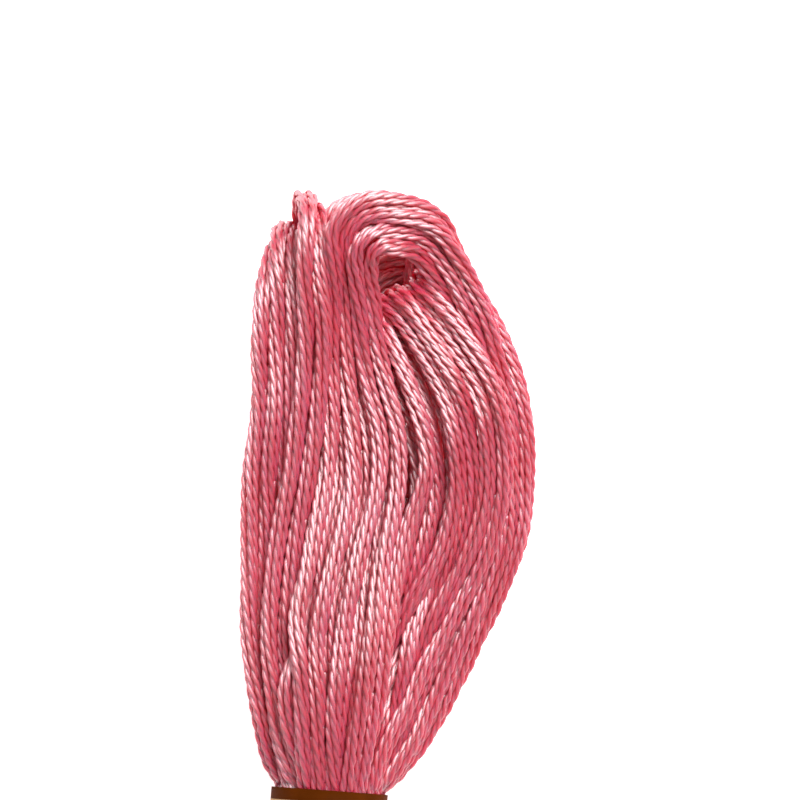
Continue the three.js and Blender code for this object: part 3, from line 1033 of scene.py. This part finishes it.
@dataclass
class Exposure:
    """Finds which stretches of the strands can be seen from outside.

    Attributes:
        paths: the strands' routes.
        radius: the radius that they hide each other with, in millimetres.
        clear: how far out a look starts, in radii.
    """

    paths: list[np.ndarray]
    radius: float
    clear: float = 1.05

    def _tree(self) -> BVHTree:
        """Make a search tree of plain four-sided tubes.

        Returns:
            The tree.
        """
        points, faces, base = [], [], 0
        for path, (side, _) in zip(self.paths, carry_frames(self.paths)):
            rings = rings_round(path, side, np.full(len(path), self.radius), 4)
            points.append(rings.reshape(-1, 3))
            faces.append(ring_faces(len(path), 4) + base)
            base += len(path) * 4
        return BVHTree.FromPolygons(np.concatenate(points).tolist(), np.concatenate(faces).tolist())

    def measure(self) -> list[np.ndarray]:
        """Look out from each point in several directions.

        Returns:
            For each path, 0 where a point is hidden, 1 where it shows only from beside or below,
            and 2 where it shows from above.
        """
        tree = self._tree()
        upward = [(0, 0, 1), (0.5, 0, 0.87), (-0.5, 0, 0.87), (0, 0.5, 0.87), (0, -0.5, 0.87)]
        other = [(1, 0, 0.2), (-1, 0, 0.2), (0, 1, 0.2), (0, -1, 0.2)]
        other += [(0, 0, -1), (0.6, 0, -0.8), (-0.6, 0, -0.8)]
        other += [(0.7, 0.7, 0.3), (-0.7, 0.7, 0.3), (0.7, -0.7, 0.3), (-0.7, -0.7, 0.3)]
        ways_up = [Vector(w).normalized() for w in upward]
        ways_out = [Vector(w).normalized() for w in other]
        start = self.radius * self.clear
        found = []
        for path in self.paths:
            level = np.zeros(len(path), int)
            for k, point in enumerate(path):
                place = Vector(point)
                if any(tree.ray_cast(place + w * start, w)[0] is None for w in ways_up):
                    level[k] = 2
                elif sum(tree.ray_cast(place + w * start, w)[0] is None for w in ways_out) > 1:
                    level[k] = 1
            found.append(level)
        return found


def stretches(level: np.ndarray, grow: int, least: int) -> list[tuple[int, int, int]]:
    """Cut a strand into stretches that show alike.

    Args:
        level: how well each of its points shows, from 0 up.
        grow: points by which a stretch that shows runs on beyond its ends.
        least: a stretch of fewer points than this joins the better of its neighbours.

    Returns:
        First index, last index and level of each stretch, in order and end to end.
    """
    grown = level.copy()
    for _ in range(grow):
        edged = np.pad(grown, 1, mode="edge")
        grown = np.maximum(grown, np.maximum(edged[:-2], edged[2:]))
    for low in (0, 1):
        cuts = np.flatnonzero(np.diff((grown > low).astype(int))) + 1
        for first, last in zip([0, *cuts], [*cuts, len(grown)]):
            if grown[first] <= low and last - first < least and 0 < first and last < len(grown):
                grown[first:last] = np.maximum(grown[first:last], low + 1)
    cuts = np.flatnonzero(np.diff(grown)) + 1
    top = len(grown) - 1
    ends = zip([0, *cuts], [*cuts, top])
    return [(a, min(b, top), int(grown[a])) for a, b in ends if min(b, top) > a]


Link = tuple[bpy.types.Node, str | int, bpy.types.Node, str | int]


def fill(node: bpy.types.Node, values: dict[str | int, float | tuple[float, ...]]) -> None:
    """Set a node's inputs.

    Args:
        node: the node.
        values: each input's value, under its name or number.
    """
    for key, value in values.items():
        node.inputs[key].default_value = value


@dataclass(frozen=True)
class Finish:
    """A new material, with ways to add nodes and link them.

    Attributes:
        made: the material.
    """

    made: bpy.types.Material

    @classmethod
    def named(cls, name: str) -> "Finish":
        """Start a material.

        Args:
            name: what it is called.

        Returns:
            The finish, with a shader and nothing linked to it but the output.
        """
        made = bpy.data.materials.new(name)
        made.use_nodes = True
        return cls(made)

    @property
    def shader(self) -> bpy.types.Node:
        """The material's shader."""
        return self.made.node_tree.nodes["Principled BSDF"]

    def add(
        self,
        kind: str,
        values: dict[str | int, float | tuple[float, ...]] | None = None,
        **settings: str,
    ) -> bpy.types.Node:
        """Add a node.

        Args:
            kind: its kind, without the first word of Blender's name for it.
            values: the values of its inputs.
            settings: its other settings.

        Returns:
            The node.
        """
        node = self.made.node_tree.nodes.new("ShaderNode" + kind)
        for name, value in settings.items():
            setattr(node, name, value)
        fill(node, values or {})
        return node

    def ramp(self, *stops: tuple[float, Triple], blend: str = "LINEAR") -> bpy.types.Node:
        """Add a colour ramp.

        Args:
            stops: its positions and their colours.
            blend: how it goes from one to the next.

        Returns:
            The node.
        """
        node = self.add("ValToRGB")
        node.color_ramp.interpolation = blend
        while len(node.color_ramp.elements) < len(stops):
            node.color_ramp.elements.new(0.5)
        for element, (position, colour) in zip(node.color_ramp.elements, stops):
            element.position = position
            element.color = (*colour, 1.0)
        return node

    def link(self, *rows: Link) -> None:
        """Link nodes.

        Args:
            rows: for each link a node, its output, the node that it leads to and that node's input.
        """
        for source, output, target, entry in rows:
            self.made.node_tree.links.new(source.outputs[output], target.inputs[entry])


@dataclass(frozen=True)
class CottonFinish:
    """Mercerised cotton: a clear red-pink with a soft white gloss across its fibres.

    Attributes:
        deep: the darkest strands' colour.
        light: the lightest strands' colour.
        roughness: how wide the gloss is.
        stretch: how much narrower the gloss is along the fibres than across them.
        refraction: the fibres' index of refraction.
        specular: strength of the gloss.
        straightened: share of a ply's twist that its fibres undo, so that they run along the strand.
        sheen: strength of the soft light on edges.
        sheen_roughness: how wide that light is.
        sheen_tint: its colour.
        fibre_bump: strength of the fine fibre relief.
        fibre_height: height of that relief, in metres.
        glowing: share of the light that goes into a ply and out again beside where it went in.
        glow_depth: how far that light goes, in metres.
        glow_reach: how far red, green and blue go, as shares of that.
        fine_share: share of the fine fibres in the colour.
        tone_share: share of a strand's own tone in it.
        contrast: what the sum of those and of the slow patches is scaled by.
        deep_up_to: the sum up to which the colour is deep.
        light_from: the sum from which it is light.
    """

    deep: Triple = (0.79, 0.007, 0.042)
    light: Triple = (0.9, 0.045, 0.118)
    roughness: float = 0.45
    stretch: float = 0.85
    refraction: float = 2.15
    specular: float = 1.0
    straightened: float = 0.65
    sheen: float = 0.05
    sheen_roughness: float = 0.4
    sheen_tint: Triple = (1.0, 0.86, 0.88)
    fibre_bump: float = 0.3
    fibre_height: float = 0.00004
    glowing: float = 0.8
    glow_depth: float = 0.0012
    glow_reach: Triple = (1.0, 0.2, 0.25)
    fine_share: float = 0.45
    tone_share: float = 0.5
    contrast: float = 0.62
    deep_up_to: float = 0.3
    light_from: float = 0.85

    def material(self) -> bpy.types.Material:
        """Make the material.

        Returns:
            The material, which reads the Thread UV map and the tone and fibres attributes.
        """
        finish = Finish.named("cotton_floss")
        values = {
            "Roughness": self.roughness,
            "IOR": self.refraction,
            "Specular IOR Level": self.specular,
            "Anisotropic": self.stretch,
            "Subsurface Weight": self.glowing,
            "Subsurface Radius": self.glow_reach,
            "Subsurface Scale": self.glow_depth,
            "Sheen Weight": self.sheen,
            "Sheen Roughness": self.sheen_roughness,
            "Sheen Tint": (*self.sheen_tint, 1.0),
        }
        fill(finish.shader, values)
        self._relief(finish, self._colour(finish))
        return finish.made

    def _colour(self, finish: Finish) -> bpy.types.Node:
        """Add the nodes of the colour, a sum of fibres, slow patches and each strand's own tone.

        Args:
            finish: the material.

        Returns:
            The noise that is drawn out along the fibres.
        """
        uv = finish.add("UVMap", uv_map="Thread")
        stretch = finish.add("Mapping", {"Scale": (9.0, 1.1, 1.0)})
        fibres = finish.add("TexNoise", {"Scale": 1.0, "Detail": 3.0, "Roughness": 0.65})
        tone = finish.add("Attribute", attribute_name="tone")
        slow = finish.add("TexNoise", {"Scale": 220.0, "Detail": 2.0})
        place = finish.add("TexCoord")
        mix = finish.add("Math", {1: self.fine_share}, operation="MULTIPLY_ADD")
        add = finish.add("Math", {1: self.tone_share}, operation="MULTIPLY_ADD")
        scale = finish.add("Math", {1: self.contrast}, operation="MULTIPLY")
        ramp = finish.ramp((self.deep_up_to, self.deep), (self.light_from, self.light))
        finish.link(
            (uv, "UV", stretch, "Vector"),
            (stretch, "Vector", fibres, "Vector"),
            (place, "Object", slow, "Vector"),
            (fibres, "Fac", mix, 0),
            (slow, "Fac", mix, 2),
            (tone, "Fac", add, 0),
            (mix, 0, add, 2),
            (add, 0, scale, 0),
            (scale, 0, ramp, "Fac"),
            (ramp, "Color", finish.shader, "Base Color"),
        )
        return fibres

    def _relief(self, finish: Finish, fibres: bpy.types.Node) -> None:
        """Add the nodes of the relief and of the way that the gloss is drawn out.

        Args:
            finish: the material.
            fibres: the noise that is drawn out along the fibres.
        """
        bump = finish.add("Bump", {"Strength": self.fibre_bump, "Distance": self.fibre_height})
        way = finish.add("Attribute", attribute_name="fibres")
        lean = finish.add("VectorMath", operation="DOT_PRODUCT")
        share = finish.add("Math", {1: self.straightened}, operation="MULTIPLY")
        along = finish.add("VectorMath", operation="SCALE")
        level = finish.add("VectorMath", operation="SUBTRACT")
        normal = finish.add("VectorMath", operation="NORMALIZE")
        across = finish.add("VectorMath", operation="CROSS_PRODUCT")
        finish.link(
            (fibres, "Fac", bump, "Height"),
            (bump, "Normal", lean, 0),
            (way, "Vector", lean, 1),
            (lean, "Value", share, 0),
            (way, "Vector", along, 0),
            (share, 0, along, "Scale"),
            (bump, "Normal", level, 0),
            (along, 0, level, 1),
            (level, 0, normal, 0),
            (normal, 0, across, 0),
            (way, "Vector", across, 1),
            (normal, 0, finish.shader, "Normal"),
            (across, 0, finish.shader, "Tangent"),
        )


@dataclass
class Skein:
    """The wound floss: loops above the band, passes inside it and loops below it.

    Attributes:
        thread: how the floss is laid.
        neck: where the band squeezes it.
        node_step: distance between a floss's points while it settles, in millimetres.
        strand_step: the same for a strand.
        fine_step: length of a ply's facets where it shows from above.
        side_step: the same where it shows only from beside or below.
        plain_step: length of a hidden strand's facets.
        plain_share: a hidden strand's radius, as a share of the distance between two strands.
        pass_step: length of a strand's facets inside the band.
        pass_share: a strand's radius there, as the same share.
        shade_share: the radius that a strand hides others with, as the same share.
        turns_in_piece: the most turns that one piece holds.
        finish: the cotton's look.
    """

    thread: Thread = Thread()
    neck: Neck = Neck()
    node_step: float = 1.0
    strand_step: float = 0.8
    fine_step: float = 0.25
    side_step: float = 0.38
    plain_step: float = 1.6
    plain_share: float = 0.46
    pass_step: float = 6.4
    pass_share: float = 0.4
    shade_share: float = 0.6
    turns_in_piece: int = 4
    finish: CottonFinish = CottonFinish()

    def wind(
        self, bundles: tuple[Bundle, ...], rng: np.random.Generator
    ) -> tuple[list[np.ndarray], list[str]]:
        """Lay and settle the flosses of some bundles.

        Args:
            bundles: the bundles.
            rng: the source of their unevenness.

        Returns:
            The flosses' routes, and for each the name of its piece.
        """
        routes, names = [], []
        for bundle in bundles:
            laid = bundle.routes(rng, self.neck, self.thread.floss_width, self.node_step)
            routes += laid
            pieces = math.ceil(len(laid) / self.turns_in_piece)
            names += [f"{bundle.name}_{1 + k * pieces // len(laid)}" for k in range(len(laid))]
        relaxer = Relaxer(routes, self.neck, self.thread.floss_width, self.node_step)
        relaxer.settle(steps=120, pull=0.02, smooth=0.7)
        settled = relaxer.settle(steps=50, pull=0.01, smooth=0.7)
        LOG.info("settled %d flosses", len(settled))
        return settled, names

    def strands(self, flosses: list[np.ndarray], rng: np.random.Generator) -> list[np.ndarray]:
        """Lay and settle the strands of settled flosses.

        Args:
            flosses: the flosses' routes.
            rng: the source of their unevenness.

        Returns:
            The strands' routes.
        """
        finer = [respace(f, self.strand_step) for f in flosses]
        laid = lay_strands(rng, finer, self.thread)
        relaxer = Relaxer(laid, self.neck, self.thread.strand_width, self.strand_step)
        relaxer.settle(steps=60, pull=0.06, smooth=0.4)
        return relaxer.settle(steps=12, pull=0.02, smooth=0.2)

    def _plies(
        self,
        mesh: TubeMesh,
        table: np.ndarray,
        start: float,
        phase: float,
        tone: float,
        sides: int,
        step: float,
    ) -> None:
        """Add the two plies of a stretch of strand.

        Args:
            mesh: where they go.
            table: the stretch's points, each with its two side directions.
            start: how far along the thread the stretch starts, in millimetres.
            phase: the plies' turn at the thread's start.
            tone: the strand's tone.
            sides: points round a ply.
            step: length of its facets.
        """
        fine = respace(smooth_rows(table, STRAND_SAMPLES * len(table)), step)
        centre, side, up = fine[:, :3], unit(fine[:, 3:6]), unit(fine[:, 6:9])
        length = start + step * np.arange(len(fine))
        turn = phase - 2 * math.pi * length / self.thread.ply_pitch
        way = unit(np.gradient(centre, axis=0))
        for ply in (0, 1):
            angle = turn + math.pi * ply
            out = side * np.cos(angle)[:, None] + up * np.sin(angle)[:, None]
            swell = np.sin(length * SWELL + phase * 3 + ply * 2)
            radius = self.thread.ply_radius * (1 + self.thread.ply_uneven * swell)
            rings = rings_round(centre + out * self.thread.ply_offset, out, radius, sides)
            mixed = tone * (1 - self.thread.ply_contrast) + self.thread.ply_contrast * ply
            mesh.add(rings, length, mixed, way)

    def dress(
        self,
        strands: list[np.ndarray],
        names: list[str],
        rng: np.random.Generator,
        meshes: dict[str, TubeMesh],
    ) -> None:
        """Give each strand its plies where it shows and a plain tube where it doesn't.

        Args:
            strands: the strands' routes.
            names: the piece that each strand belongs to.
            rng: the source of their tones and phases.
            meshes: each piece's mesh, and the one for what is hidden.
        """
        levels = Exposure(strands, self.thread.strand_width * self.shade_share).measure()
        frames = carry_frames(strands)
        shown = [0.0, 0.0, 0.0]
        for path, name, level, (side, up) in zip(strands, names, levels, frames):
            tone, phase = rng.uniform(), rng.uniform(0, 2 * math.pi)
            for first, last, shows in stretches(level, grow=1, least=4):
                part = slice(first, last + 1)
                start = first * self.strand_step
                shown[shows] += (last - first) * self.strand_step * MM
                if shows == 0:
                    self._plain(meshes["heart"], path[part], side[part], start, tone)
                    continue
                sides, step = (4, self.side_step) if shows == 1 else (5, self.fine_step)
                table = np.hstack([path[part], side[part], up[part]])
                self._plies(meshes[name], table, start, phase, tone, sides, step)
        LOG.info(
            "%.1f m of strand hidden, %.1f m seen from beside or below, %.1f m from above",
            *shown,
        )

    def _plain(
        self, mesh: TubeMesh, path: np.ndarray, side: np.ndarray, start: float, tone: float
    ) -> None:
        """Add a hidden stretch of strand as one plain tube.

        Args:
            mesh: where it goes.
            path: the stretch's points.
            side: a side direction at each point.
            start: how far along the thread the stretch starts, in millimetres.
            tone: the strand's tone.
        """
        plain = respace(np.hstack([path, side]), self.plain_step)
        radius = np.full(len(plain), self.thread.strand_width * self.plain_share)
        rings = rings_round(plain[:, :3], plain[:, 3:], radius, 4)
        way = unit(np.gradient(plain[:, :3], axis=0))
        mesh.add(rings, start + self.plain_step * np.arange(len(plain)), tone, way)

    def _pass_through(self, mesh: TubeMesh, upper: list[np.ndarray], lower: list[np.ndarray]) -> None:
        """Lead each floss through the band to the nearest floss that hangs below it.

        Args:
            mesh: where the passes go.
            upper: strands above the band, those of one floss after those of another.
            lower: strands below the band.
        """
        count = self.thread.strand_count
        tops = [(k, end) for k in range(0, len(upper), count) for end in (0, -1)]
        feet = [(k, end) for k in range(0, len(lower), count) for end in (0, -1)]
        flat = []
        for strands, ends in ((upper, tops), (lower, feet)):
            places = [np.mean([strands[k + i][end] for i in range(count)], axis=0) for k, end in ends]
            flat.append(self.neck.straighten(np.array(places))[:, [0, 2]])
        apart = np.linalg.norm(flat[0][:, None] - flat[1][None], axis=2)
        for _ in range(min(len(tops), len(feet))):
            row, column = np.unravel_index(np.argmin(apart), apart.shape)
            apart[row], apart[:, column] = np.inf, np.inf
            (k, end), (m, foot) = tops[row], feet[column]
            for i in range(count):
                line = np.stack([upper[k + i][end], lower[m + i][foot]])
                path = respace(line, self.pass_step)
                side = np.tile([1.0, 0.0, 0.0], (len(path), 1))
                radius = np.full(len(path), self.thread.strand_width * self.pass_share)
                way = unit(np.gradient(path, axis=0))
                length = self.pass_step * np.arange(len(path))
                mesh.add(rings_round(path, side, radius, 4), length, 0.5, way)

    def build(self) -> list[bpy.types.Object]:
        """Build the skein's pieces.

        Returns:
            The pieces, all riding on the root body.
        """
        origin = self.neck.origin()
        material = self.finish.material()
        meshes = {"heart": TubeMesh("skein_heart")}
        rng = np.random.default_rng(SEED)
        halves = []
        for bundles in (UPPER_BUNDLES, LOWER_BUNDLES):
            flosses, names = self.wind(bundles, rng)
            for name in names:
                meshes.setdefault(name, TubeMesh("skein_" + name))
            halves.append(self.strands(flosses, rng))
            each = [n for n in names for _ in range(self.thread.strand_count)]
            self.dress(halves[-1], each, rng, meshes)
        self._pass_through(meshes["heart"], *halves)
        made = []
        total = 0
        for mesh in meshes.values():
            piece = mesh.build(origin)
            piece.data.materials.append(material)
            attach(piece, "root")
            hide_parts("skein")
            triangles = sum(len(p.vertices) - 2 for p in piece.data.polygons)
            total += triangles
            LOG.info("%s has %d triangles", piece.name, triangles)
            made.append(piece)
        LOG.info("the skein has %d triangles", total)
        return made


@dataclass(frozen=True)
class PaperFinish:
    """Coated paper, printed gold-brown with a thin black line and a pale field.

    Attributes:
        gold: the edges' colour.
        line: the thin line's colour.
        field: the colour between the lines.
        roughness: how wide the gloss is.
        specular: strength of the gloss.
        border: width of the gold edge, in millimetres.
        stroke: width of the thin line, in millimetres.
        mottle: share by which the paper's unevenness darkens it.
        relief: strength of that unevenness.
        relief_height: its height, in metres.
    """

    gold: Triple = (0.1, 0.0195, 0.0)
    line: Triple = (0.012, 0.006, 0.003)
    field: Triple = (0.66, 0.41, 0.22)
    roughness: float = 0.65
    specular: float = 0.03
    border: float = 0.8
    stroke: float = 0.12
    mottle: float = 0.35
    relief: float = 0.15
    relief_height: float = 0.00005

    def material(self, neck: Neck, origin: np.ndarray) -> bpy.types.Material:
        """Make the material.

        Args:
            neck: the neck that the band goes round.
            origin: where the middle of its upper edge lies, in millimetres.

        Returns:
            The material, striped along the band's own length.
        """
        finish = Finish.named("band_paper")
        fill(finish.shader, {"Roughness": self.roughness, "Specular IOR Level": self.specular})
        place = finish.add("TexCoord")
        lying = {"Location": tuple(float(v) * MM for v in origin), "Rotation": (0.0, 0.0, neck.turn)}
        turn = finish.add("Mapping", lying, vector_type="TEXTURE")
        split = finish.add("SeparateXYZ")
        to_share = finish.add("Math", {1: -1 / (neck.length * MM)}, operation="MULTIPLY")
        edge = self.border / neck.length
        stroke = self.stroke / neck.length
        stops = [(0, self.gold), (edge, self.line), (edge + stroke, self.field)]
        stops += [(1 - edge - stroke, self.line), (1 - edge, self.gold)]
        ramp = finish.ramp(*stops, blend="CONSTANT")
        mottle = finish.add("TexNoise", {"Scale": 900.0, "Detail": 4.0})
        tint = finish.add("MixRGB", {"Fac": self.mottle}, blend_type="MULTIPLY")
        bump = finish.add("Bump", {"Strength": self.relief, "Distance": self.relief_height})
        finish.link(
            (place, "Object", turn, "Vector"),
            (turn, "Vector", split, "Vector"),
            (split, "Y", to_share, 0),
            (to_share, 0, ramp, "Fac"),
            (place, "Object", mottle, "Vector"),
            (ramp, "Color", tint, "Color1"),
            (mottle, "Fac", tint, "Color2"),
            (tint, "Color", finish.shader, "Base Color"),
            (mottle, "Fac", bump, "Height"),
            (bump, "Normal", finish.shader, "Normal"),
        )
        return finish.made


@dataclass
class PaperBand:
    """The paper band: one strip wrapped round the neck with its end glued over its start.

    Attributes:
        neck: the neck that it goes round.
        finish: the paper's look.
        seam: the angle round the neck at which the strip starts, in radians.
        overlap: the angle over which its end covers its start.
        lifts_from: the angle from its start at which it begins to rise over the start.
        lifts_over: the angle that the rise takes.
        step_up: how far it rises, in thicknesses of paper.
        tuck: how far its face stays inside the neck's outline, in millimetres.
        waves: each wave's height in millimetres, its count round the neck and its lean along it.
        around: steps round the neck.
        along: steps along the skein.
    """

    neck: Neck = Neck()
    finish: PaperFinish = PaperFinish()
    seam: float = math.radians(215)
    overlap: float = 0.9
    lifts_from: float = 5.6
    lifts_over: float = 0.7
    step_up: float = 1.3
    tuck: float = 0.05
    waves: tuple[Triple, ...] = ((0.03, 3, 0.13), (0.02, 5, -0.3))
    around: int = 96
    along: int = 40

    def build(self) -> bpy.types.Object:
        """Build the band.

        Returns:
            The band, riding on the root body.
        """
        neck, origin = self.neck, self.neck.origin()
        whole = 2 * math.pi + self.overlap
        rows = []
        for j in range(self.along + 1):
            y = -neck.length * j / self.along
            for i in range(self.around + 1):
                gone = i / self.around * whole
                angle = self.seam + gone
                risen = min(1, max(0, (gone - self.lifts_from) / self.lifts_over))
                inset = self.step_up * neck.paper - self.step_up * neck.paper * risen
                wave = sum(h * math.sin(n * angle + lean * y) for h, n, lean in self.waves)
                a = neck.half_width - inset - neck.paper / 2 - self.tuck + wave
                b = neck.half_depth - inset - neck.paper / 2 - self.tuck + wave
                rows.append((a * math.cos(angle), y, neck.height + b * math.sin(angle)))
        points = neck.lean(np.array(rows))
        points[:, 2] = np.maximum(points[:, 2], neck.paper / 2)
        points = (points + origin) * MM
        wide = self.around + 1
        faces = [
            (j * wide + i, (j + 1) * wide + i, (j + 1) * wide + i + 1, j * wide + i + 1)
            for j in range(self.along)
            for i in range(self.around)
        ]
        mesh = bpy.data.meshes.new("paper_band")
        mesh.from_pydata(points.tolist(), [], faces)
        mesh.polygons.foreach_set("use_smooth", np.ones(len(faces), bool))
        made = add_object("paper_band", mesh)
        thick = made.modifiers.new("paper", "SOLIDIFY")
        thick.thickness = neck.paper * MM
        thick.offset = 0.0
        mesh.materials.append(self.finish.material(neck, origin))
        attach(made, "root")
        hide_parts("band")
        return made


@dataclass(frozen=True)
class Camera:
    """A camera straight above the loops, tipped a little towards the band.

    Attributes:
        middle: the point that it looks at, in millimetres from the middle of the band's upper edge.
        width: the width that it sees there, in millimetres.
        tip: how far it leans from straight above, in radians.
        lens: its focal length, in millimetres.
        sensor: its sensor's width, in millimetres.
        reach: how far it sees, in metres.
    """

    middle: Triple = (5.38, 30.0, 5.0)
    width: float = 61.54
    tip: float = math.radians(3.5)
    lens: float = 300.0
    sensor: float = 36.0
    reach: float = 10.0

    def place(self, origin: np.ndarray) -> None:
        """Make the camera.

        Args:
            origin: where the middle of the band's upper edge lies, in millimetres.
        """
        data = bpy.data.cameras.new("camera")
        data.lens = self.lens
        data.sensor_width = self.sensor
        data.clip_end = self.reach
        made = add_object("camera", data)
        far = self.width * self.lens / self.sensor
        target = Vector((origin + np.array(self.middle)) * MM)
        away = Vector((0.0, -math.sin(self.tip), math.cos(self.tip)))
        made.location = target + away * far * MM
        made.rotation_euler = (self.tip, 0.0, 0.0)
        bpy.context.scene.camera = made


@dataclass(frozen=True)
class Softbox:
    """One soft light.

    Attributes:
        name: what it is called.
        place: where it stands from the point that it faces, in metres.
        size: the length of its sides, in metres.
        power: its power in watts.
    """

    name: str
    place: Triple
    size: float
    power: float

    def build(self, target: Vector) -> None:
        """Make the light.

        Args:
            target: the point that it faces.
        """
        data = bpy.data.lights.new(self.name, "AREA")
        data.shape = "SQUARE"
        data.size = self.size
        data.energy = self.power
        made = add_object(self.name, data)
        made.location = target + Vector(self.place)
        made.rotation_euler = (-Vector(self.place)).to_track_quat("-Z", "Y").to_euler()


@dataclass(frozen=True)
class Studio:
    """A white floor, a white surround and a soft light.

    Attributes:
        floor_size: the floor's sides, in metres.
        world: strength of the surround's light.
        glow: strength of the floor's own light.
        aim: the point that the light faces, in millimetres from the middle of the band's upper edge.
        key: the light.
    """

    floor_size: float = 3.0
    world: float = 0.32
    glow: float = 0.85
    aim: Triple = (5.0, 25.0, 5.0)
    key: Softbox = Softbox("key_light", (0.18, 0.3, 0.48), 0.35, 4.9)

    def build(self, origin: np.ndarray) -> None:
        """Make the floor, the surround and the light.

        Args:
            origin: where the middle of the band's upper edge lies, in millimetres.
        """
        half = self.floor_size / 2
        mesh = bpy.data.meshes.new("floor")
        corners = [(-half, -half, 0), (half, -half, 0), (half, half, 0), (-half, half, 0)]
        mesh.from_pydata(corners, [], [(0, 1, 2, 3)])
        floor = add_object("floor", mesh)
        white = Finish.named("floor_white")
        values = {
            "Base Color": (0.97, 0.97, 0.97, 1.0),
            "Roughness": 0.9,
            "Emission Color": (1.0, 1.0, 1.0, 1.0),
            "Emission Strength": self.glow,
        }
        fill(white.shader, values)
        mesh.materials.append(white.made)
        world = bpy.data.worlds.new("surround")
        world.use_nodes = True
        sky = world.node_tree.nodes["Background"]
        fill(sky, {"Color": (1.0, 1.0, 1.0, 1.0), "Strength": self.world})
        scene = bpy.context.scene
        scene.world = world
        scene.view_settings.view_transform = "Standard"
        self.key.build(Vector((origin + np.array(self.aim)) * MM))


def main() -> None:
    """Build the scene."""
    logging.basicConfig(level=logging.INFO, format="%(relativeCreated)d %(message)s")
    origin = Neck().origin()
    Camera().place(origin)
    Studio().build(origin)
    pieces = [*Skein().build(), PaperBand().build()]
    for piece in pieces:
        LOG.info("built %s", piece.name)


if __name__ == "__main__":
    main()
